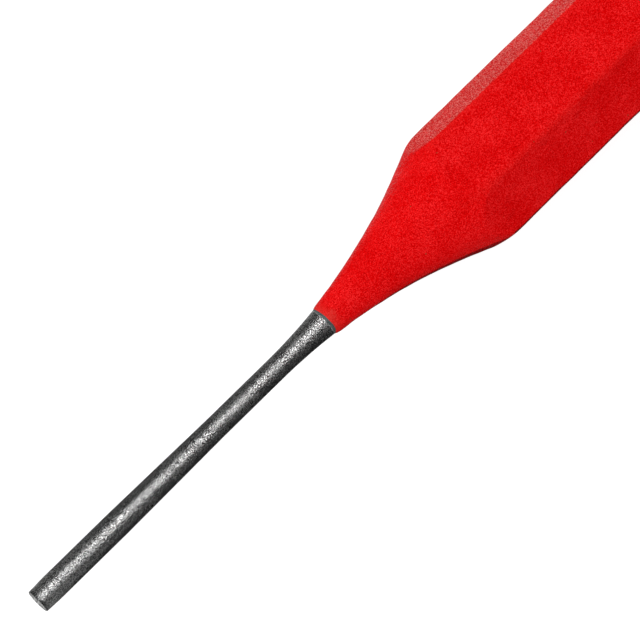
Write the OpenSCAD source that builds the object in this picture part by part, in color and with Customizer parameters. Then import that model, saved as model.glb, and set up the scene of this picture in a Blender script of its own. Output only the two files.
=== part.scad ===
// Pin punch: one steel bar with a ground pin, a turned neck and a hexagonal body,
// and the red powder coat that covers the body.
// X runs along the axis from the working face at the tip to the striking face.
// Z is up, square to the top flat. All sizes are in millimetres.

/* [Body] */
// Distance across the flats of the coated hexagonal body
body_af = 9.5; // [8.5:0.1:11]
// How far the long edges are rounded off below a sharp corner, on the radius
edge_round = 0.07; // [0.05:0.01:0.3]
// Overall length from working face to striking face
overall_len = 150; // [110:1:200]

/* [Pin] */
// Diameter of the parallel land that enters the hole
pin_d = 2; // [1.5:0.1:3]
// Length of that land, measured from the working face
land_len = 8; // [5:0.5:12]
// Length of the taper that leads from the land down to the relieved pin
relief_taper_len = 10; // [4:0.5:11]
// How far the relieved pin lies below the land, on the radius
relief_depth = 0.125; // [0.05:0.025:0.25]
// Distance from the working face to where the neck starts to flare
neck_start = 24; // [24:0.5:30]
// Radius worn and ground off the land towards the working face
tip_ease = 0.05; // [0.02:0.01:0.1]
// Length of the eased stretch at the tip
tip_ease_len = 1.5; // [0.5:0.1:3]
// Chamfer around the working face
tip_break = 0.04; // [0.02:0.01:0.1]

/* [Neck] */
// Radius of the hollow curve from the pin out to the hexagon
neck_r = 45; // [35:1:60]
// Radius of the shoulder that rounds the neck into the corners of the hexagon
shoulder_r = 5; // [2:0.5:8]

/* [Striking head] */
// Half angle of the cone ground on the head
head_half_angle = 12; // [8:1:20]
// Diameter of the cone where it meets the chamfer at the end
head_d = 7.4; // [6:0.1:7.8]
// Chamfer between the head cone and the striking face
head_chamfer = 0.45; // [0.2:0.05:0.8]
// Radius of the crowned striking face
crown_r = 22; // [15:1:60]

/* [Coat] */
// Thickness of the powder coat
coat_t = 0.1; // [0.06:0.02:0.2]
// Distance from the working face to the masked edge of the coat
coat_start = 29.2; // [27:0.1:34]

/* [Hidden] */
$fn = 96;
hex_sides = 6;
// Radius at a sharp corner of a hexagon whose flats lie at a radius of 1
corner_ratio = 1 / cos(180 / hex_sides);
coated_r = body_af / 2;
coated_corner_r = coated_r * corner_ratio - edge_round;
// Radius past every corner of the hexagon, with room to spare
clear_r = coated_corner_r + 1;
// How far the solids that only cut or bound others run past the ends
overrun = 5;
land_r = pin_d / 2;
relief_r = land_r - relief_depth;
relief_end = land_len + relief_taper_len;
neck_centre_r = relief_r + neck_r;
// The shoulder's centre lies where its circle touches both the hollow curve and the steel's corners
shoulder_centre_r = coated_corner_r - coat_t - shoulder_r;
shoulder_drop = neck_centre_r - shoulder_centre_r;
shoulder_run = sqrt(pow(neck_r + shoulder_r, 2) - pow(shoulder_drop, 2));
shoulder_centre_x = neck_start + shoulder_run;
shoulder_turn = atan2(shoulder_run, shoulder_drop);
crown_drop = crown_r - sqrt(crown_r * crown_r - pow(head_d / 2 - head_chamfer, 2));
head_rim = overall_len - crown_drop - head_chamfer;
cone_len = (clear_r - head_d / 2) / tan(head_half_angle);

// Turns a shape drawn along Z so that it runs along X, with its -X side facing up
module along_x() {
    rotate([0, 90, 0]) children();
}

// The hexagonal bar, with a skin of the given thickness on it, running past both ends.
// Its long edges are rounded about the axis, and one flat faces +X before it is turned.
module bar(skin) {
    under = coat_t - skin;
    translate([0, 0, -overrun]) linear_extrude(overall_len + 2 * overrun) intersection() {
        rotate(180 / hex_sides) circle((coated_r - under) * corner_ratio, $fn = hex_sides);
        circle(coated_corner_r - under);
    }
}

// Outline of the neck from a given distance back to past the head.
// A skin moves the hollow curve straight out from the steel, about the same centre.
module neck_outline(skin, start) {
    difference() {
        translate([0, start]) square([clear_r, overall_len + overrun - start]);
        translate([neck_centre_r, neck_start]) circle(neck_r - skin, $fn = 720);
        shoulder_cut(skin);
    }
}

// What the shoulder takes off that outline: a wedge from the shoulder's centre, less its circle.
// The wedge runs from the corners of the hexagon round to the hollow curve, and past them both.
module shoulder_cut(skin) {
    reach = 2 * shoulder_r;
    translate([shoulder_centre_r, shoulder_centre_x]) difference() {
        polygon([[0, 0], reach * [cos(shoulder_turn), -sin(shoulder_turn)], [reach, 0]]);
        circle(shoulder_r + skin, $fn = 360);
    }
}

// Outline of the pin from the working face to the start of the neck
module pin_outline() {
    polygon([
        [0, 0],
        [land_r - tip_ease - tip_break, 0],
        [land_r - tip_ease, tip_break],
        [land_r, tip_ease_len],
        [land_r, land_len],
        [relief_r, relief_end],
        [relief_r, neck_start],
        [0, neck_start]
    ]);
}

// Outline that the head is ground to: the cone, its chamfer and the crowned face
module head_outline() {
    intersection() {
        polygon([
            [0, -overrun],
            [clear_r, -overrun],
            [clear_r, head_rim - cone_len],
            [head_d / 2, head_rim],
            [head_d / 2 - 2 * head_chamfer, head_rim + 2 * head_chamfer],
            [0, head_rim + 2 * head_chamfer]
        ]);
        union() {
            translate([0, -overrun]) square([clear_r, overall_len - crown_r + overrun]);
            translate([0, overall_len - crown_r]) circle(crown_r, $fn = 360);
        }
    }
}

// One piece of steel: pin, neck, hexagonal body and striking head
module punch_blank() {
    color("#74777a") along_x() intersection() {
        bar(0);
        rotate_extrude() {
            pin_outline();
            neck_outline(0, neck_start);
        }
        rotate_extrude() head_outline();
    }
}

// Red powder coat over the neck and the body, from its masked edge back to the ground head
module powder_coat() {
    color("#dc1414") along_x() difference() {
        intersection() {
            bar(coat_t);
            rotate_extrude() neck_outline(coat_t, coat_start);
            rotate_extrude() head_outline();
        }
        intersection() {
            bar(0);
            rotate_extrude() neck_outline(0, neck_start);
        }
    }
}

punch_blank();
powder_coat();
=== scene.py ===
import math
import bpy
import numpy as np
from mathutils import Matrix, Vector


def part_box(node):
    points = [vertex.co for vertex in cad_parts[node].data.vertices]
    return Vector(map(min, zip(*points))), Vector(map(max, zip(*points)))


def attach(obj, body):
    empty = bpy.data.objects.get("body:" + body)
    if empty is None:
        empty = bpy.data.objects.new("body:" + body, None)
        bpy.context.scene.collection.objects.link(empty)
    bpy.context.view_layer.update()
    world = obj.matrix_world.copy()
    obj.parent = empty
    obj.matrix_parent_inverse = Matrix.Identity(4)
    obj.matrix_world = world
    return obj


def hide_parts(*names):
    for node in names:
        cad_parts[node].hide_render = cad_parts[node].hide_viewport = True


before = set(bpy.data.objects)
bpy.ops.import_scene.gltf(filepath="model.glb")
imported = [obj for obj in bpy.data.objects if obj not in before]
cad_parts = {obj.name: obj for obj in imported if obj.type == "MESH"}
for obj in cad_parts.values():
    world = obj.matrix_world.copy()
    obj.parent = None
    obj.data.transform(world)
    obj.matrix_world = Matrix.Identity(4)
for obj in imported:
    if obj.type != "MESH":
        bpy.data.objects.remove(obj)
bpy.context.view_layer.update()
mm = 0.001
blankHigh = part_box("punch_blank")[1]
coatLow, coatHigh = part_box("powder_coat")

# the punch as it is drawn in the frame, lengths measured along +X from the working face
punch = {
    "landRadius": 1.0 * mm,            # working end of the pin
    "easedRadius": 0.95 * mm,          # the same, where it is worn at the face
    "faceRadius": 0.91 * mm,           # flat face inside its chamfer
    "chamferLength": 0.04 * mm,
    "easedLength": 1.5 * mm,
    "landEnd": 8 * mm,
    "reliefRadius": 0.875 * mm,        # the thinner pin behind the land
    "reliefStart": 18 * mm,
    "neckStart": 24 * mm,
    "neckCurve": 45 * mm,              # radius of the hollow turned curve
    "shoulderRound": 0.65 * mm,        # how gently that curve runs into the corners of the bar
    "halfFlats": coatHigh.z,           # axis to a coated flat
    "edgeRadius": 0.45 * mm,           # rounding along the long edges, over the coat
    "coatThickness": 0.1 * mm,
    "coatStart": coatLow.x,
    "headSlope": math.tan(math.radians(12)),
    "headRadius": 3.7 * mm,            # cone where it meets its chamfer
    "headChamfer": 0.45 * mm,
    "crownCurve": 22 * mm,
    "length": blankHigh.x,
}
crownEdge = punch["headRadius"] - punch["headChamfer"]
crownDrop = punch["crownCurve"] - math.sqrt(punch["crownCurve"] ** 2 - crownEdge ** 2)
headRim = punch["length"] - crownDrop - punch["headChamfer"]
halfSector = math.pi / 6               # from the middle of a flat to a corner of the hexagon


# camera: a long lens above the top flat, a little to the -Y side and towards the tip, turned so that
# the axis rises to the upper right
cameraValues = {
    "aimPastCoatStart": -0.2 * mm,     # the point on the axis that the view is centred on
    "aimAside": 0.30 * mm,             # and how far beside the axis, towards +Y
    "axisTilt": math.radians(10.5),    # how far the tip leans towards the camera
    "flatTurn": math.radians(15.6),    # how far the top flat is turned from the camera
    "axisSlope": math.radians(44.36),  # slope of the axis across the view
    "distance": 216 * mm,
    "lens": 166.2,
    "sensor": 36,
    "clip": (10 * mm, 10),
}


def makeCamera(values):
    tilt, turn, slope = values["axisTilt"], values["flatTurn"], values["axisSlope"]
    back = Vector((-math.sin(tilt), -math.cos(tilt) * math.sin(turn), math.cos(tilt) * math.cos(turn)))
    along = Vector((1, 0, 0))
    along = (along - along.dot(back) * back).normalized()
    aside = back.cross(along)
    right = math.cos(slope) * along - math.sin(slope) * aside
    up = math.sin(slope) * along + math.cos(slope) * aside
    onAxis = Vector((punch["coatStart"] + values["aimPastCoatStart"], 0, 0))
    aim = onAxis + values["aimAside"] * aside
    data = bpy.data.cameras.new("camera")
    data.lens, data.sensor_width = values["lens"], values["sensor"]
    data.clip_start, data.clip_end = values["clip"]
    data.dof.use_dof = False
    camera = bpy.data.objects.new("camera", data)
    bpy.context.scene.collection.objects.link(camera)
    turned = Matrix((right, up, back)).transposed().to_4x4()
    camera.matrix_world = Matrix.Translation(aim + values["distance"] * back) @ turned
    bpy.context.scene.camera = camera
    return aim


aim = makeCamera(cameraValues)
print("camera set")


# smaller of two lengths, with the corner between them rounded: where they differ by less than width,
# a parabola w (1 - |a - b| / w)^2 / 4 is taken off the smaller one
def softMin(a, b, width):
    near = np.clip(1 - np.abs(a - b) / width, 0, None)
    return np.minimum(a, b) - width * near ** 2 / 4


# sum of plane waves in random directions: sin(2 pi p.d / size + phase), evened out to unit spread
def waves(points, size, seed, count=14):
    rng = np.random.default_rng(seed)
    directions = rng.normal(size=(count, 3))
    directions /= np.linalg.norm(directions, axis=1, keepdims=True)
    sizes = size * rng.uniform(0.75, 1.35, count)
    phases = rng.uniform(0, 2 * math.pi, count)
    total = np.zeros(points.shape[:-1])
    for direction, length, phase in zip(directions, sizes, phases):
        total += np.sin(2 * math.pi * (points @ direction) / length + phase)
    return total / math.sqrt(count / 2)


# angle round the axis from the middle of the nearest flat
def offFlat(angle):
    return np.abs((angle + halfSector) % (2 * halfSector) - halfSector)


# radius of the hexagon with round edges at an angle from +Z: flat / cos(angle from its middle) on a flat,
# and the far crossing with the edge circle round a corner
def barRadius(angle, halfFlats, edgeRadius):
    off = offFlat(angle)
    onFlat = halfFlats / np.cos(off)
    centre = (halfFlats - edgeRadius) / math.cos(halfSector)
    fromCorner = halfSector - off
    inside = np.clip(edgeRadius ** 2 - (centre * np.sin(fromCorner)) ** 2, 0, None)
    onEdge = centre * np.cos(fromCorner) + np.sqrt(inside)
    flatEnd = (halfFlats - edgeRadius) * math.tan(halfSector)
    return np.where(halfFlats * np.tan(off) <= flatEnd, onFlat, onEdge)


# radius of the hollow curve: a circle whose centre stands neckCurve outside the pin, less the skin
def neckArc(x, skin):
    reach = (punch["neckCurve"] - skin) ** 2 - (x - punch["neckStart"]) ** 2
    return punch["reliefRadius"] + punch["neckCurve"] - np.sqrt(np.clip(reach, 0, None))


# the same, turned over gently before it reaches the corners of the bar
def neckRadius(x, skin):
    corner = (punch["halfFlats"] - punch["edgeRadius"]) / math.cos(halfSector) + punch["edgeRadius"]
    return softMin(neckArc(x, skin), corner + skin, punch["shoulderRound"])


# distance along the axis at which the hollow curve reaches a given radius
def neckReaches(radius, skin):
    rise = punch["reliefRadius"] + punch["neckCurve"] - radius
    return punch["neckStart"] + np.sqrt((punch["neckCurve"] - skin) ** 2 - rise ** 2)


# the ground cone at the head, as a radius at x and as the x at which it has a given radius
def headRadiusAt(x):
    return punch["headRadius"] + (headRim - x) * punch["headSlope"]


def headReaches(radius):
    return headRim - (radius - punch["headRadius"]) / punch["headSlope"]


# shares from 0 up to 1: even ones, and ones that crowd towards both ends, (1-p) t + p t^2 (3 - 2t)
def even(steps):
    return np.linspace(0, 1, steps, endpoint=False)


def crowded(steps, pull=0.85):
    t = even(steps)
    return (1 - pull) * t + pull * t * t * (3 - 2 * t)


# rings at those shares of the way from one place to another, either of which may change with the angle
def between(start, end, shares):
    return start + (end - start) * shares[:, None]


# angles round the axis from +Z: even over the flats, close together round the six edges
def sectorAngles(flatSteps, edgeSteps, edgeHalf):
    flat = np.linspace(edgeHalf, 2 * halfSector - edgeHalf, flatSteps, endpoint=False)
    edge = np.linspace(-edgeHalf, edgeHalf, edgeSteps, endpoint=False)
    sector = np.concatenate([edge, flat]) + halfSector
    return (sector[None, :] + np.arange(6)[:, None] * 2 * halfSector).ravel()


angles = sectorAngles(34, 10, math.radians(4))
around = angles[None, :]


# places for a whole grid: x along the axis, and a radius turned to (r sin a, r cos a)
def placed(x, radius):
    x, radius, turned = np.broadcast_arrays(x, radius, around)
    return np.stack([x, radius * np.sin(turned), radius * np.cos(turned)], axis=-1)


# how far each point of a grid is from the axis, and the direction straight out from it
def fromAxis(rings):
    radial = rings * [0, 1, 1]
    distance = np.linalg.norm(radial, axis=-1)
    return distance, radial / distance[..., None]


# a piece from rings of points: quads between rings, and a fan to each pole; with loop, the last ring
# joins the first. Each of the values becomes an attribute, one number for each point
def meshOfRings(name, rings, values, firstPole=None, lastPole=None, loop=False):
    count, sides = rings.shape[:2]
    index = np.arange(count * sides).reshape(count, sides)
    low = index if loop else index[:-1]
    high = np.roll(index, -1, axis=0) if loop else index[1:]
    quads = np.stack([low, high, np.roll(high, -1, axis=1), np.roll(low, -1, axis=1)], axis=-1)
    faces = quads.reshape(-1, 4).tolist()
    points = rings.reshape(-1, 3)
    for pole, ring, inward in ((firstPole, index[0], False), (lastPole, index[-1], True)):
        if pole is None:
            continue
        centre = np.full(sides, len(points))
        points = np.vstack([points, pole])
        beside = np.roll(ring, -1)
        fan = np.stack([centre, beside, ring] if inward else [centre, ring, beside], axis=-1)
        faces += fan.tolist()
    mesh = bpy.data.meshes.new(name)
    mesh.from_pydata(points.tolist(), [], faces)
    mesh.polygons.foreach_set("use_smooth", np.ones(len(mesh.polygons), bool))
    for label, spread in values.items():
        full = np.zeros(len(points), np.float32)
        full[: count * sides] = np.broadcast_to(spread, (count, sides)).ravel()
        mark = mesh.attributes.new(label, "FLOAT", "POINT")
        mark.data.foreach_set("value", full)
    mesh.validate()
    mesh.update()
    piece = bpy.data.objects.new(name, mesh)
    bpy.context.scene.collection.objects.link(piece)
    print(name, "has", len(mesh.polygons), "faces")
    return piece


# steel blank: rings run from the working face to the striking face
steelShape = {
    "faceRings": 7,
    "faceReach": (0.15, 0.97),         # first and last ring of the working face, as shares of its radius
    "faceHold": 0.975,                 # share of it at which the rounding of its edge may begin
    "tipEnd": (0.35 * mm, 0.965 * mm),         # place and radius where the outline of the tip ends
    "pinFrom": 0.4 * mm,
    "pinRings": 150,
    "neckRings": 60,
    "bodyRings": 60,
    "bodyCrowd": 0.97,
    "coneRings": 16,
    "coneCrowd": 0.6,
    "coneStop": 0.05 * mm,             # the cone's rings stop this far before its rim
    "rimLead": 0.04 * mm,              # and the outline of the rim starts this far before it
    "crownHold": (0.9, 0.95),          # where that outline ends: shares of the crown's drop and radius
    "crownRings": 14,
    "crownReach": (0.94, 0.06),
    "edgeSteps": 5,
    "edgeRound": 0.018 * mm,           # softness of the ground edges at the tip
    "rimRound": 0.144 * mm,            # and at the head
    "creaseRound": 0.1 * mm,
    "grindDepth": 0.0007 * mm,         # waviness left by the wheel
    "grindSize": 0.6 * mm,
    "grindSeed": 11,
    "grindStretch": (1, 0.25, 0.25),   # makes the waves four times as long across the pin as along it
    "grindFadeIn": 0.3 * mm,
    "grindFadeOut": 1 * mm,
    "faceLean": math.tan(math.radians(3.4)),   # the working face is worn a little off square
    "leanTowards": math.radians(-15.6),        # the side on which it is worn back
    "leanFade": 1.2 * mm,
    "rimPlace": 0.05 * mm,             # painted shade: a dark line round the tip, just behind the chamfer
    "rimWidth": 0.028 * mm,
    "rimFrom": 0.9 * mm,               # no nearer the axis than this
    "faceEnd": 0.02 * mm,              # the working face is what lies before this
    "crownFrom": 0.2 * mm,             # and the striking face what lies this far past the rim of the cone
}


# an outline of straight lines whose inner corners are rounded: each corner becomes a quadratic curve
# (1-t)^2 p + 2t(1-t) q + t^2 r between points set back along its two sides
def roundedOutline(corners, setBack, steps):
    corners = np.array(corners)
    done = [corners[:1]]
    t = np.linspace(0, 1, steps)[:, None]
    for before, corner, after in zip(corners[:-2], corners[1:-1], corners[2:]):
        toBefore, toAfter = before - corner, after - corner
        lengths = np.linalg.norm(toBefore), np.linalg.norm(toAfter)
        reach = min(setBack, 0.45 * min(lengths))      # two corners never share a point
        start = corner + toBefore / lengths[0] * reach
        end = corner + toAfter / lengths[1] * reach
        done.append((1 - t) ** 2 * start + 2 * t * (1 - t) * corner + t ** 2 * end)
    done.append(corners[-1:])
    return np.vstack(done)


# outline of the working end, as places and radii: the flat face, its chamfer, the pin easing out to its
# full land, and a straight taper down to the relieved pin
def pinOutline(shape):
    faceRadius = punch["faceRadius"]
    faceOut = np.linspace(*shape["faceReach"], shape["faceRings"]) * faceRadius
    face = np.stack([np.zeros_like(faceOut), faceOut], axis=-1)
    corners = [
        (0, shape["faceHold"] * faceRadius),
        (0, faceRadius),
        (punch["chamferLength"], punch["easedRadius"]),
        shape["tipEnd"],
    ]
    tip = roundedOutline(corners, shape["edgeRound"], shape["edgeSteps"])
    pinX = np.linspace(shape["pinFrom"], punch["neckStart"], shape["pinRings"], endpoint=False)
    places = [punch[key] for key in ("chamferLength", "easedLength", "landEnd", "reliefStart", "neckStart")]
    sizes = ("easedRadius", "landRadius", "landRadius", "reliefRadius", "reliefRadius")
    radii = [punch[key] for key in sizes]
    return np.vstack([face, tip, np.stack([pinX, np.interp(pinX, places, radii)], axis=-1)])


# neck, bar and cone: at each angle the smallest of the hollow curve, the hexagon and the ground cone
def steelBody(shape):
    bare = punch["coatThickness"]
    bar = barRadius(angles, punch["halfFlats"] - bare, punch["edgeRadius"] - bare)
    crease, headCrease = neckReaches(bar, 0), headReaches(bar)
    neckX = between(punch["neckStart"], crease, crowded(shape["neckRings"]))
    bodyX = between(crease, headCrease, crowded(shape["bodyRings"], shape["bodyCrowd"]))
    coneEnd = headRim - shape["coneStop"]
    coneX = between(headCrease, coneEnd, crowded(shape["coneRings"], shape["coneCrowd"]))
    x = np.vstack([neckX, bodyX, coneX])
    radius = softMin(neckRadius(x, 0), bar[None, :], shape["creaseRound"])
    return placed(x, softMin(radius, headRadiusAt(x), shape["creaseRound"]))


# outline of the striking end: the rim of the cone, the chamfer, and the crown as part of a circle
def crownOutline(shape):
    lead, hold = shape["rimLead"], shape["crownHold"]
    corners = [
        (headRim - lead, punch["headRadius"] + lead * punch["headSlope"]),
        (headRim, punch["headRadius"]),
        (headRim + punch["headChamfer"], crownEdge),
        (punch["length"] - crownDrop * hold[0], crownEdge * hold[1]),
    ]
    rim = roundedOutline(corners, shape["rimRound"], shape["edgeSteps"])
    crownR = np.linspace(*shape["crownReach"], shape["crownRings"]) * crownEdge
    crownX = punch["length"] - punch["crownCurve"] + np.sqrt(punch["crownCurve"] ** 2 - crownR ** 2)
    return np.vstack([rim, np.stack([crownX, crownR], axis=-1)])


# the whole blank: its worn face is pushed back by slope x height above the low side, fading out along
# the pin, and the wheel's waves move every point between the ends in or out
def makeSteel(shape):
    pin, crown = pinOutline(shape), crownOutline(shape)
    rings = np.concatenate([
        placed(pin[:, :1], pin[:, 1:]),
        steelBody(shape),
        placed(crown[:, :1], crown[:, 1:]),
    ])
    x = rings[..., 0].copy()
    towards = np.array([0, math.sin(shape["leanTowards"]), math.cos(shape["leanTowards"])])
    lean = (rings @ towards + punch["faceRadius"]) * shape["faceLean"]
    rings[..., 0] += np.clip(lean, 0, None) * np.clip(1 - x / shape["leanFade"], 0, 1)
    distance, outward = fromAxis(rings)
    wave = waves(rings * shape["grindStretch"], shape["grindSize"], shape["grindSeed"])
    wave *= shape["grindDepth"] * np.clip(x / shape["grindFadeIn"], 0, 1)
    wave *= np.clip((headRim - x) / shape["grindFadeOut"], 0, 1)
    rings = rings + outward * wave[..., None]
    rimLine = np.exp(-((x - shape["rimPlace"]) / shape["rimWidth"]) ** 2)
    values = {
        "rimShade": rimLine * (distance > shape["rimFrom"]),
        "endFace": np.where((x < shape["faceEnd"]) | (x > headRim + shape["crownFrom"]), 1.0, 0.0),
    }
    facePole = (punch["faceRadius"] * shape["faceLean"], 0, 0)
    return meshOfRings("steelBlank", rings, values, facePole, (punch["length"], 0, 0))


steelBlank = makeSteel(steelShape)

# powder coat: rings run to the head over the outside and return along the inside, so the film is closed
coatShape = {
    "lipRings": 10,
    "lipLength": 0.55 * mm,            # over which the film thins out towards its masked edge
    "lipBead": 0.002 * mm,             # powder builds up a little against the masking plug
    "beadPlace": 0.3 * mm,
    "beadWidth": 0.2 * mm,
    "lipWander": 0.05 * mm,            # how far the masked edge wanders
    "lipWaves": (1.6, 5),              # size of its waves on a circle of radius 1, and their seed
    "chipDepth": 0.12 * mm,            # chips in the edge at the head, for a wave of height 1
    "chipWaves": (0.35, 8),
    "chipRange": (0.6, 1.2),           # what is taken off the wave's height, and the most that is left
    "neckRings": 76,
    "neckCrowd": 0.3,
    "creaseRings": 16,
    "creaseReach": 0.9 * mm,
    "nearRings": 48,
    "nearEnd": 66 * mm,
    "farRings": 44,
    "farCrowd": 0.8,
    "cutRings": 5,
    "innerRings": 34,
    "innerFrom": 0.004,                # share of the way from the head at which the inside starts
    "creaseRound": 0.075 * mm,
    "cutRound": 0.04 * mm,
    "bedIn": 0.004 * mm,               # the film is keyed into the steel by this much
    "peelDepth": 0.006 * mm,
    "peelSize": 1.1 * mm,
    "slowDepth": 0.010 * mm,
    "slowSize": 5 * mm,
    "peelSeeds": (21, 22),
    "peelFadeIn": 0.8 * mm,
    "peelFadeOut": 1 * mm,
    "edgeHalf": math.radians(7),       # wear reaches this far round from each long edge
    "edgeFrom": (40 * mm, 4 * mm),     # and begins here, over this length
    "maskedWidth": 0.5 * mm,
    "barFade": 0.1 * mm,
    "sideShadeStart": (-0.09, 0.48),       # painted shade along the sides: how far up the outside it begins, on the neck and on the bar
    "sideShadeStrength": (0.75, 1.0),
    "sideShadeEnd": (-0.75, -0.5),         # and how far down it ends
    "sideShadeFade": 0.2,
    "coarseGlintTowards": (0.5, 0.866),     # up and side parts of the way that the flat with a coarser grain and painted glints faces
    "coarseGlintRange": (0.95, 0.04),
}


# lip of the film: a quarter ellipse from the steel at the masked edge up to the full film
def lipOf(shape, lipX):
    thickness, bedIn = punch["coatThickness"], shape["bedIn"]
    turn = math.pi / 2 * even(shape["lipRings"])[:, None]
    x = lipX + shape["lipLength"] * (1 - np.cos(turn))
    return placed(x, neckRadius(x, 0) - bedIn + (thickness + bedIn) * np.sin(turn))


# outside of the film: at each angle the smallest of the hollow curve with the film on it, the coated
# hexagon and the ground cone
def outsideOf(shape, lipX, headEnd):
    thickness = punch["coatThickness"]
    bar = barRadius(angles, punch["halfFlats"], punch["edgeRadius"])
    crease, headCrease = neckReaches(bar, thickness), headReaches(bar)
    lipBack, nearEnd = lipX + shape["lipLength"], shape["nearEnd"]
    beforeCrease, pastCrease = crease - shape["creaseReach"], crease + shape["creaseReach"]
    x = np.vstack([
        between(lipBack, beforeCrease, crowded(shape["neckRings"], shape["neckCrowd"])),
        between(beforeCrease, pastCrease, even(shape["creaseRings"])),
        between(pastCrease, nearEnd, even(shape["nearRings"])),
        between(nearEnd, headCrease, crowded(shape["farRings"], shape["farCrowd"])),
        between(headCrease, headEnd, np.linspace(0, 1, shape["cutRings"])),
    ])
    radius = softMin(neckRadius(x, thickness), bar[None, :], shape["creaseRound"])
    return placed(x, softMin(radius, headRadiusAt(x), shape["cutRound"]))


# inside of the film: the steel's own neck and bar, sunk into it by bedIn
def insideOf(shape, lipX, headEnd):
    bare = punch["coatThickness"]
    bar = barRadius(angles, punch["halfFlats"] - bare, punch["edgeRadius"] - bare)
    shares = np.linspace(shape["innerFrom"], 1, shape["innerRings"], endpoint=False)
    x = between(headEnd, lipX, shares)
    return placed(x, np.minimum(neckRadius(x, 0), bar[None, :]) - shape["bedIn"])


# marks on the film, from 0 to 1: wear along the long edges, rubbing at the masked edge, painted shade along
# the sides, and one flat with a coarser grain and painted glints; up and side are the outward direction
# across the section
def coatMarks(shape, rings, lipX):
    x = rings[..., 0]
    edgeStart, edgeFade = shape["edgeFrom"]
    nearEdge = np.clip(1 - (halfSector - offFlat(around)) / shape["edgeHalf"], 0, 1)
    onBar = np.clip((neckArc(x, 0) - fromAxis(rings)[0]) / shape["barFade"], 0, 1)
    section = (np.roll(rings, -1, axis=1) - np.roll(rings, 1, axis=1))[..., 1:]
    section /= np.linalg.norm(section, axis=-1, keepdims=True)
    up, side = section[..., 0], -section[..., 1]
    # painted shade along both sides, from a little above the side edges to below them
    sideShadeStart, sideShadeEnd, strength = (
        neck + (bar - neck) * onBar
        for neck, bar in (shape["sideShadeStart"], shape["sideShadeEnd"], shape["sideShadeStrength"])
    )
    sideShadeTop = np.clip((sideShadeStart - up) / shape["sideShadeFade"], 0, 1)
    sideShadeFoot = np.clip((up - sideShadeEnd) / shape["sideShadeFade"], 0, 1)
    towards = shape["coarseGlintTowards"][0] * up + shape["coarseGlintTowards"][1] * side
    coarseGlintStart, coarseGlintFade = shape["coarseGlintRange"]
    return {
        "longEdge": nearEdge * np.clip((x - edgeStart) / edgeFade, 0, 1),
        "maskedEdge": np.exp(-((x - lipX) / shape["maskedWidth"]) ** 2),
        "sideShadeMask": strength * sideShadeTop * sideShadeFoot,
        "coarseGlintSide": np.clip((towards - coarseGlintStart) / coarseGlintFade, 0, 1) * onBar,
    }


# the whole film: waves on the circle of angles make its masked edge wander and chip its edge at the head,
# and the outside is lifted by a fine and a slow wave, as sprayed powder flows, and by a low bead on the lip
def makeCoat(shape):
    circle = np.stack([0 * angles, np.sin(angles), np.cos(angles)], axis=-1)
    lipX = punch["coatStart"] + shape["lipWander"] * waves(circle, *shape["lipWaves"])
    bare = punch["coatThickness"]
    innerBar = barRadius(angles, punch["halfFlats"] - bare, punch["edgeRadius"] - bare)
    chipFrom, chipMost = shape["chipRange"]
    chips = np.clip(waves(circle, *shape["chipWaves"]) - chipFrom, 0, chipMost)
    headEnd = headReaches(innerBar) - shape["chipDepth"] * chips
    outer = np.concatenate([lipOf(shape, lipX), outsideOf(shape, lipX, headEnd)])
    x = outer[..., 0]
    fineSeed, slowSeed = shape["peelSeeds"]
    lift = shape["peelDepth"] * waves(outer, shape["peelSize"], fineSeed)
    lift += shape["slowDepth"] * waves(outer, shape["slowSize"], slowSeed)
    lift *= np.clip((x - lipX) / shape["peelFadeIn"], 0, 1)
    lift *= np.clip((headEnd - x) / shape["peelFadeOut"], 0, 1)
    lift += shape["lipBead"] * np.exp(-((x - lipX - shape["beadPlace"]) / shape["beadWidth"]) ** 2)
    outer = outer + fromAxis(outer)[1] * lift[..., None]
    rings = np.concatenate([outer, insideOf(shape, lipX, headEnd)])
    return meshOfRings("powderCoat", rings, coatMarks(shape, rings, lipX), loop=True)


powderCoat = makeCoat(coatShape)
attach(steelBlank, "root")
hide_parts("punch_blank")
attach(powderCoat, "root")
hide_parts("powder_coat")
print("pieces made")


# a socket is linked when it is given another node's output, and set when it is given a value
def feed(tree, socket, given):
    if isinstance(given, bpy.types.NodeSocket):
        tree.links.new(given, socket)
    else:
        socket.default_value = given


# short ways to make nodes; an input is named, or is given by its number as at0, at1 and so on
def addNode(tree, kind, settings=None, **inputs):
    node = tree.nodes.new(kind)
    for key, value in (settings or {}).items():
        setattr(node, key, value)
    for key, value in inputs.items():
        feed(tree, node.inputs[int(key[2:]) if key.startswith("at") else key], value)
    return node


def maths(tree, operation, *values):
    node = addNode(tree, "ShaderNodeMath", {"operation": operation})
    for socket, value in zip(node.inputs, values):
        feed(tree, socket, value)
    return node.outputs[0]


def times(tree, a, b):
    return maths(tree, "MULTIPLY", a, b)


# a value taken smoothly from one range to another, and held at its ends
def ramp(tree, value, low, high, toLow=0.0, toHigh=1.0):
    node = addNode(tree, "ShaderNodeMapRange", {"interpolation_type": "SMOOTHSTEP"})
    for socket, given in zip(node.inputs, (value, low, high, toLow, toHigh)):
        feed(tree, socket, given)
    return node.outputs[0]


def mixed(tree, share, a, b):
    node = addNode(tree, "ShaderNodeMix", {"data_type": "RGBA"}, at0=share, at6=a, at7=b)
    return node.outputs[2]


def newGroup(name, inputs, outputs):
    tree = bpy.data.node_groups.new(name, "ShaderNodeTree")
    for label, kind, value in inputs:
        socket = tree.interface.new_socket(label, in_out="INPUT", socket_type="NodeSocket" + kind)
        if value is not None:
            socket.default_value = value
    for label in outputs:
        tree.interface.new_socket(label, in_out="OUTPUT", socket_type="NodeSocketFloat")
    return tree, tree.nodes.new("NodeGroupInput").outputs, tree.nodes.new("NodeGroupOutput").inputs


def useGroup(tree, group, **inputs):
    node = addNode(tree, "ShaderNodeGroup", {"node_tree": group}, **inputs)
    return node.outputs


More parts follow.
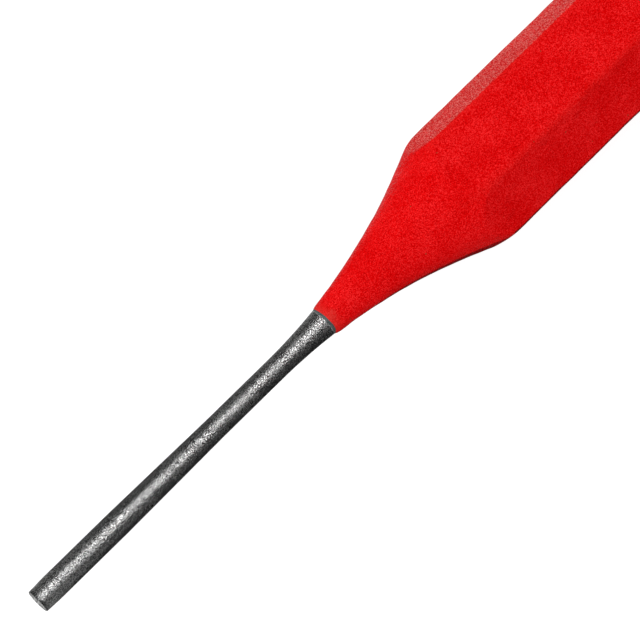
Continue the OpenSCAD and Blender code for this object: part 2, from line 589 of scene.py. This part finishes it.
# object coordinates in millimetres
def coordinates(tree):
    place = addNode(tree, "ShaderNodeTexCoord").outputs["Object"]
    return addNode(tree, "ShaderNodeVectorMath", {"operation": "SCALE"}, at0=place, Scale=1000.0).outputs[0]


def stretched(tree, vector, factors):
    node = addNode(tree, "ShaderNodeVectorMath", {"operation": "MULTIPLY"}, at0=vector, at1=factors)
    return node.outputs[0]


def noise(tree, vector, scale, detail, roughness, distortion=0.0):
    node = addNode(tree, "ShaderNodeTexNoise", Vector=vector, Scale=scale, Detail=detail,
                   Roughness=roughness, Distortion=distortion)
    return node.outputs["Fac"]


# colour picked along a row of colours, evenly spaced from 0 to 1
def tinted(tree, value, colours):
    node = addNode(tree, "ShaderNodeValToRGB", Fac=value)
    stops = node.color_ramp.elements
    while len(stops) < len(colours):
        stops.new(0.5)
    for stop, place, colour in zip(stops, np.linspace(0, 1, len(colours)), colours):
        stop.position, stop.color = place, (*colour, 1)
    return node.outputs["Color"]


def attribute(tree, name):
    return addNode(tree, "ShaderNodeAttribute", {"attribute_name": name}).outputs["Fac"]


# grain: worm-like ridges 1 - |5n - 2.5| of one noise n, mixed with the smooth step of a finer noise
def grainGroup():
    tree, given, out = newGroup(
        "grain",
        [("Vector", "Vector", None), ("Size", "Float", 0.12), ("Ridges", "Float", 0.5)],
        ["Height", "Tone"],
    )
    scale = maths(tree, "DIVIDE", 1.0, given["Size"])
    soft = noise(tree, given["Vector"], scale, 1.0, 0.5, 0.4)
    away = maths(tree, "ABSOLUTE", maths(tree, "MULTIPLY_ADD", soft, 5.0, -2.5))
    ridge = maths(tree, "MAXIMUM", maths(tree, "SUBTRACT", 1.0, away), 0.0)
    fine = ramp(tree, noise(tree, given["Vector"], times(tree, scale, 1.6), 1.0, 0.5), 0.3, 0.7)
    blend = addNode(tree, "ShaderNodeMix", {"data_type": "FLOAT"}, at0=given["Ridges"], at2=fine, at3=ridge)
    tree.links.new(blend.outputs[0], out["Height"])
    tree.links.new(fine, out["Tone"])
    return tree


# uneven tone: one slow noise with finer detail, for patches of slightly different colour and polish
def unevenGroup():
    tree, given, out = newGroup("unevenTone", [("Vector", "Vector", None), ("Size", "Float", 3.0)], ["Tone"])
    slow = noise(tree, given["Vector"], maths(tree, "DIVIDE", 1.0, given["Size"]), 3.0, 0.55)
    tree.links.new(ramp(tree, slow, 0.3, 0.7), out["Tone"])
    return tree


# specks: the few cells of a voronoi pattern whose own random number is low, as small round spots
def speckGroup():
    tree, given, out = newGroup(
        "specks",
        [
            ("Vector", "Vector", None),
            ("Spacing", "Float", 0.8),
            ("Share", "Float", 0.1),
            ("Radius", "Float", 0.15),
        ],
        ["Mask"],
    )
    scale = maths(tree, "DIVIDE", 1.0, given["Spacing"])
    voronoi = addNode(tree, "ShaderNodeTexVoronoi", {"feature": "F1"}, Vector=given["Vector"], Scale=scale)
    cells = voronoi.outputs
    number = addNode(tree, "ShaderNodeSeparateColor", Color=cells["Color"]).outputs[0]
    chosen = maths(tree, "LESS_THAN", number, given["Share"])
    spot = ramp(tree, cells["Distance"], given["Radius"], times(tree, given["Radius"], 0.4))
    tree.links.new(times(tree, spot, chosen), out["Mask"])
    return tree


grain, unevenTone, specks = grainGroup(), unevenGroup(), speckGroup()

# red powder coat: a fine grain, with a clear film over it that shows where the surface turns away;
# sizes of patterns are in millimetres, and four numbers are a ramp: from, to, value at each
coatFinish = {
    "reds": ((0.45, 0.0001, 0.0003), (0.69, 0.0003, 0.0008), (0.98, 0.028, 0.030)),
    "wornRed": (0.60, 0.045, 0.035, 1),
    "dirt": (0.09, 0.05, 0.02, 1),
    "sideShadeRed": (0.09, 0.0, 0.0, 1),   # painted shade along the sides
    # painted highlight and painted shade: pale crests and dark hollows in the grain of one flat
    "glintRed": (1.0, 0.19, 0.14, 1),
    "hollowShadeRed": (0.42, 0.0, 0.0, 1),
    "grain": {"Size": 0.13, "Ridges": 0.35},
    "patches": {"Size": 2.4},
    "specks": {"Spacing": 0.5, "Share": 0.12, "Radius": 0.16},
    "flecks": {"Size": 0.12, "Ridges": 0.2},
    "fleckStretch": (1.0, 0.28, 0.28),
    "grainShare": 0.85,                # the rest of the tone comes from the patches
    "edgeWear": 0.12,
    "maskedWear": (0.3, 0.2),          # what the patches add, and the least
    "dirtRange": (0.4, 0.75, 0.0, 0.8),
    "glintRange": (0.55, 0.85, 0.0, 0.6),
    "hollowShadeRange": (0.45, 0.15, 0.0, 0.4),
    "rubCentre": (coatLow.x / mm + 0.48, -0.36, 1.3),  # a spot rubbed by the masking plug
    "rubRange": (0.45, 0.3, 0.0, 0.5),
    "sideShadeMix": 0.9,
    "roughness": (0.34, 0.52),
    "grainLift": 0.026 * mm,
    "fleckLift": 0.8,
    "baseGloss": 0.005,                # what is left of the ordinary gloss under the film
    "filmRoughness": 0.36,
    "filmIndex": 2.2,
    "filmRange": (0.36, 0.82),         # how far a surface is turned away as the film comes in
    "filmFlecks": (0.45, 0.85, 0.06, 0.80),
    "filmRim": (0.80, 0.95),           # past this it is whole, so the outline is clean
}


# colour: reds picked by the grain and the patches, then wear, dirt, painted glints and shade in the flecks
# of one flat, the rubbed spot and painted shade along the sides
def coatColour(tree, finish, place, powder, flecks):
    tone = useGroup(tree, unevenTone, Vector=place, **finish["patches"])["Tone"]
    specked = useGroup(tree, specks, Vector=place, **finish["specks"])["Mask"]
    share = finish["grainShare"]
    blend = maths(tree, "MULTIPLY_ADD", powder["Height"], share, times(tree, tone, 1 - share))
    colour = tinted(tree, blend, finish["reds"])
    wear = times(tree, times(tree, attribute(tree, "longEdge"), powder["Tone"]), finish["edgeWear"])
    colour = mixed(tree, wear, colour, finish["wornRed"])
    rub = times(tree, attribute(tree, "maskedEdge"), maths(tree, "MULTIPLY_ADD", tone, *finish["maskedWear"]))
    colour = mixed(tree, rub, colour, finish["wornRed"])
    soiled = times(tree, specked, ramp(tree, tone, *finish["dirtRange"]))
    colour = mixed(tree, soiled, colour, finish["dirt"])
    # painted highlight and shade: on one flat the crests of the flecks are lightened to a pale red and the
    # hollows darkened
    coarseGlint = attribute(tree, "coarseGlintSide")
    hollow = times(tree, coarseGlint, ramp(tree, flecks["Height"], *finish["hollowShadeRange"]))
    colour = mixed(tree, hollow, colour, finish["hollowShadeRed"])
    paintedGlint = times(tree, coarseGlint, ramp(tree, flecks["Height"], *finish["glintRange"]))
    colour = mixed(tree, paintedGlint, colour, finish["glintRed"])
    centre = finish["rubCentre"]
    fromRub = addNode(tree, "ShaderNodeVectorMath", {"operation": "DISTANCE"}, at0=place, at1=centre)
    spot = times(tree, ramp(tree, fromRub.outputs["Value"], *finish["rubRange"]), powder["Tone"])
    colour = mixed(tree, spot, colour, finish["wornRed"])
    # painted shade: the band along the sides is darkened towards a dark red
    return mixed(tree, times(tree, attribute(tree, "sideShadeMask"), finish["sideShadeMix"]), colour, finish["sideShadeRed"])


def makeCoatMaterial(finish):
    material = bpy.data.materials.new("redPowderCoat")
    material.use_nodes = True
    tree = material.node_tree
    shader = tree.nodes["Principled BSDF"]
    place = coordinates(tree)
    powder = useGroup(tree, grain, Vector=place, **finish["grain"])
    flecks = useGroup(tree, grain, Vector=stretched(tree, place, finish["fleckStretch"]), **finish["flecks"])
    tree.links.new(coatColour(tree, finish, place, powder, flecks), shader.inputs["Base Color"])
    rough = ramp(tree, powder["Tone"], 0.0, 1.0, *finish["roughness"])
    tree.links.new(rough, shader.inputs["Roughness"])
    coarseGlint = times(tree, attribute(tree, "coarseGlintSide"), flecks["Height"])
    height = maths(tree, "MULTIPLY_ADD", coarseGlint, finish["fleckLift"], powder["Height"])
    bump = addNode(tree, "ShaderNodeBump", Strength=1.0, Distance=finish["grainLift"], Height=height)
    tree.links.new(bump.outputs[0], shader.inputs["Normal"])
    facing = addNode(tree, "ShaderNodeLayerWeight", Blend=0.5).outputs["Facing"]
    grazing = ramp(tree, flecks["Height"], *finish["filmFlecks"])
    film = ramp(tree, facing, *finish["filmRange"], 0.0, grazing)
    film = ramp(tree, facing, *finish["filmRim"], film, 1.0)
    tree.links.new(film, shader.inputs["Coat Weight"])
    shader.inputs["Coat Roughness"].default_value = finish["filmRoughness"]
    shader.inputs["Coat IOR"].default_value = finish["filmIndex"]
    shader.inputs["Specular IOR Level"].default_value = finish["baseGloss"]
    return material


# ground steel: short bright and dark streaks across the axis, some pits, and stained end faces
steelFinish = {
    "greys": ((0.05, 0.05, 0.052), (0.46, 0.46, 0.46), (1.0, 1.0, 0.99)),
    "greyRange": (0.27, 0.73),
    "endGrey": (0.90, 0.90, 0.89, 1),
    # dark oil for the stains and pits, also used for the painted shade round the tip
    "oilAndShade": (0.03, 0.035, 0.04, 1),
    "shade": (0.050, 0.068, 0.068, 1),         # matt bluish line left beside the masked edge
    "shadeReach": (coatLow.x / mm - 0.28, coatLow.x / mm - 0.10, 0.0, 0.95),
    "shadeEnd": (coatLow.x / mm + 2, coatLow.x / mm + 3),      # out of sight under the coat
    "streaks": {"Size": 0.054, "Ridges": 0.25},
    "streakStretch": (1.0, 0.32, 0.32),
    "mottle": {"Size": 0.3, "Ridges": 0.3},
    "patches": {"Size": 1.6},
    "pits": {"Spacing": 0.35, "Share": 0.12, "Radius": 0.2},
    "streakShare": 0.92,               # the rest of the tone comes from the mottle
    "scratchStretch": (1.0, 5.5, 1.5),
    "scratchNoise": (1.0, 2.0, 0.6),   # its scale, detail and roughness
    "stainRange": (0.44, 0.56, 0.8, 0.0),
    "endBrightness": 0.7,
    "rimDark": 0.85,
    "pitDark": 0.5,
    "roughness": (0.24, 0.30),
    "endRoughness": 0.15,              # what the end faces add
    "streakLift": 0.019 * mm,
    "mottleLift": 0.06,
}


# colour: greys picked by the streaks and the mottle, then the end faces, stains, lines and pits; the line
# round the tip is painted shade
def steelColour(tree, finish, place, streaks, mottle, coatShade):
    share = finish["streakShare"]
    tone = maths(tree, "MULTIPLY_ADD", streaks["Height"], share, times(tree, mottle["Tone"], 1 - share))
    colour = tinted(tree, ramp(tree, tone, *finish["greyRange"]), finish["greys"])
    ends = attribute(tree, "endFace")
    scratches = noise(tree, stretched(tree, place, finish["scratchStretch"]), *finish["scratchNoise"])
    stain = times(tree, ends, ramp(tree, scratches, *finish["stainRange"]))
    colour = mixed(tree, times(tree, ends, finish["endBrightness"]), colour, finish["endGrey"])
    colour = mixed(tree, stain, colour, finish["oilAndShade"])
    colour = mixed(tree, coatShade, colour, finish["shade"])
    # painted shade: a dark line round the tip behind the chamfer
    colour = mixed(tree, times(tree, attribute(tree, "rimShade"), finish["rimDark"]), colour, finish["oilAndShade"])
    pits = useGroup(tree, specks, Vector=place, **finish["pits"])["Mask"]
    return mixed(tree, times(tree, pits, finish["pitDark"]), colour, finish["oilAndShade"])


def makeSteelMaterial(finish):
    material = bpy.data.materials.new("groundSteel")
    material.use_nodes = True
    tree = material.node_tree
    shader = tree.nodes["Principled BSDF"]
    place = coordinates(tree)
    streakPlace = stretched(tree, place, finish["streakStretch"])
    streaks = useGroup(tree, grain, Vector=streakPlace, **finish["streaks"])
    mottle = useGroup(tree, grain, Vector=place, **finish["mottle"])
    fromTip = addNode(tree, "ShaderNodeSeparateXYZ", Vector=place).outputs["X"]
    coatShade = ramp(tree, fromTip, *finish["shadeReach"])
    coatShade = ramp(tree, fromTip, *finish["shadeEnd"], coatShade, 0.0)
    colour = steelColour(tree, finish, place, streaks, mottle, coatShade)
    tree.links.new(colour, shader.inputs["Base Color"])
    tree.links.new(maths(tree, "SUBTRACT", 1.0, coatShade), shader.inputs["Metallic"])
    patches = useGroup(tree, unevenTone, Vector=place, **finish["patches"])
    rough = ramp(tree, patches["Tone"], 0.0, 1.0, *finish["roughness"])
    rough = maths(tree, "MULTIPLY_ADD", attribute(tree, "endFace"), finish["endRoughness"], rough)
    tree.links.new(rough, shader.inputs["Roughness"])
    height = maths(tree, "MULTIPLY_ADD", mottle["Height"], finish["mottleLift"], streaks["Height"])
    bump = addNode(tree, "ShaderNodeBump", Strength=1.0, Distance=finish["streakLift"], Height=height)
    tree.links.new(bump.outputs[0], shader.inputs["Normal"])
    return material


powderCoat.data.materials.append(makeCoatMaterial(coatFinish))
steelBlank.data.materials.append(makeSteelMaterial(steelFinish))
print("materials made")

# the stage: a pale floor just under the flat that the punch lies on, and an even sky. The camera sees
# both white. Matt colours see a dim floor, and gloss sees a dark one with soft bright cards on it,
# as cards laid beside the punch would give.
stageValues = {
    "floorHalf": 1.5,
    "floorGap": 0.04 * mm,
    "floorColour": (0.30, 0.30, 0.30, 1),
    "floorGlow": 0.86,
    "cardDark": 0.02,                  # the card on the -Y side
    "cardPin": 0.09,                   # on the +Y side, beside the pin
    "cardBody": 0.38,                  # and beside the body
    "cardTurn": (20 * mm, 36 * mm),
    "cardFar": 0.035,                  # further out on that side
    "cardStart": (1 * mm, 8 * mm),
    "cardEnd": (14 * mm, 22 * mm),
    "cardFront": 0.54,                 # in front of the tip
    "cardFrontTurn": (-0.5 * mm, 0.0),
    "cardHead": 0.40,                  # behind the head, so that it isn't black from the back
    "cardHeadTurn": (100 * mm, 135 * mm),
    "mattUnder": 0.08,                 # painted shadow: what matt colours see of the floor under the punch, dimmed as though in its shadow
    "mattClear": 0.30,                 # and clear of it
    "mattTurns": ((-16 * mm, -5 * mm), (0.0, 6 * mm)),         # going under it along +Y, and out again
    "skyMatt": 0.94,
    "skyGloss": 0.012,
    "skyEnd": 0.26,                    # the sky past the head, as the steel sees it
    "skyTurn": (0.6, 0.9),
    "exposure": 0.0,
    "lightDistance": 0.6,              # of every light from the point that the view is centred on
}


# brightness of the floor as the gloss and the matt colours see it, from the place along and across it
def floorBounce(tree, values, isGlossy):
    place = addNode(tree, "ShaderNodeTexCoord").outputs["Object"]
    apart = addNode(tree, "ShaderNodeSeparateXYZ", Vector=place).outputs
    beside = ramp(tree, apart["X"], *values["cardTurn"], values["cardPin"], values["cardBody"])
    card = ramp(tree, apart["Y"], *values["cardStart"], values["cardDark"], beside)
    card = ramp(tree, apart["Y"], *values["cardEnd"], card, values["cardFar"])
    card = ramp(tree, apart["X"], *values["cardFrontTurn"], values["cardFront"], card)
    card = ramp(tree, apart["X"], *values["cardHeadTurn"], card, values["cardHead"])
    # painted shadow: matt colours see the floor dimmed in a band under the punch
    fall, rise = values["mattTurns"]
    matt = ramp(tree, apart["Y"], *fall, values["mattClear"], values["mattUnder"])
    matt = ramp(tree, apart["Y"], *rise, matt, values["mattClear"])
    return ramp(tree, isGlossy, 0.0, 1.0, matt, card)


def makeFloor(values):
    half, z = values["floorHalf"], -punch["halfFlats"] - values["floorGap"]
    corners = [(-half, -half, z), (half, -half, z), (half, half, z), (-half, half, z)]
    mesh = bpy.data.meshes.new("floor")
    mesh.from_pydata(corners, [], [(0, 1, 2, 3)])
    floor = bpy.data.objects.new("floor", mesh)
    bpy.context.scene.collection.objects.link(floor)
    material = bpy.data.materials.new("paleFloor")
    material.use_nodes = True
    tree = material.node_tree
    tree.nodes.remove(tree.nodes["Principled BSDF"])
    path = addNode(tree, "ShaderNodeLightPath").outputs
    pale = addNode(tree, "ShaderNodeBsdfDiffuse", Color=values["floorColour"]).outputs[0]
    glow = addNode(tree, "ShaderNodeEmission", Strength=values["floorGlow"]).outputs[0]
    seen = addNode(tree, "ShaderNodeAddShader", at0=pale, at1=glow).outputs[0]
    strength = floorBounce(tree, values, path["Is Glossy Ray"])
    bounce = addNode(tree, "ShaderNodeEmission", Strength=strength).outputs[0]
    both = addNode(tree, "ShaderNodeMixShader", at0=path["Is Camera Ray"], at1=bounce, at2=seen).outputs[0]
    tree.links.new(both, tree.nodes["Material Output"].inputs["Surface"])
    mesh.materials.append(material)


def makeSky(values):
    world = bpy.data.worlds.new("world")
    bpy.context.scene.world = world
    world.use_nodes = True
    tree = world.node_tree
    background = tree.nodes["Background"]
    background.inputs["Color"].default_value = (1, 1, 1, 1)
    path = addNode(tree, "ShaderNodeLightPath").outputs
    direction = addNode(tree, "ShaderNodeTexCoord").outputs["Generated"]
    endwards = addNode(tree, "ShaderNodeSeparateXYZ", Vector=direction).outputs["X"]
    gloss = ramp(tree, endwards, *values["skyTurn"], values["skyGloss"], values["skyEnd"])
    soft = ramp(tree, path["Is Glossy Ray"], 0.0, 1.0, values["skyMatt"], gloss)
    tree.links.new(ramp(tree, path["Is Camera Ray"], 0.0, 1.0, soft, 1.0), background.inputs["Strength"])
    view = bpy.context.scene.view_settings
    view.view_transform, view.look, view.exposure = "Standard", "None", values["exposure"]


# each light: where it stands as seen from the punch, in degrees, its size in metres, its power, and
# whether it lights the matt colours or shows in the gloss
lightValues = {
    "keySoftbox": {"azimuth": -60, "elevation": 83, "size": (0.58, 0.56), "power": 2.7, "gloss": True},
    "tipFill": {"azimuth": -83, "elevation": 15, "size": (0.42, 0.42), "power": 1.36, "matt": True},
    "sideFill": {"azimuth": 180, "elevation": 12, "size": (0.5, 0.5), "power": 1.2, "matt": True},
}


def makeLight(name, azimuth, elevation, size, power, matt=False, gloss=False):
    a, e = math.radians(azimuth), math.radians(elevation)
    towards = Vector((math.sin(a) * math.cos(e), -math.cos(a) * math.cos(e), math.sin(e)))
    data = bpy.data.lights.new(name, "AREA")
    data.shape, data.energy = "RECTANGLE", power
    data.size, data.size_y = size
    light = bpy.data.objects.new(name, data)
    light.location = aim + stageValues["lightDistance"] * towards
    light.rotation_mode = "QUATERNION"
    light.rotation_quaternion = towards.to_track_quat("Z", "Y")
    light.visible_diffuse, light.visible_glossy = matt, gloss
    bpy.context.scene.collection.objects.link(light)


makeFloor(stageValues)
makeSky(stageValues)
for name, values in lightValues.items():
    makeLight(name, **values)
print("stage and lights made")
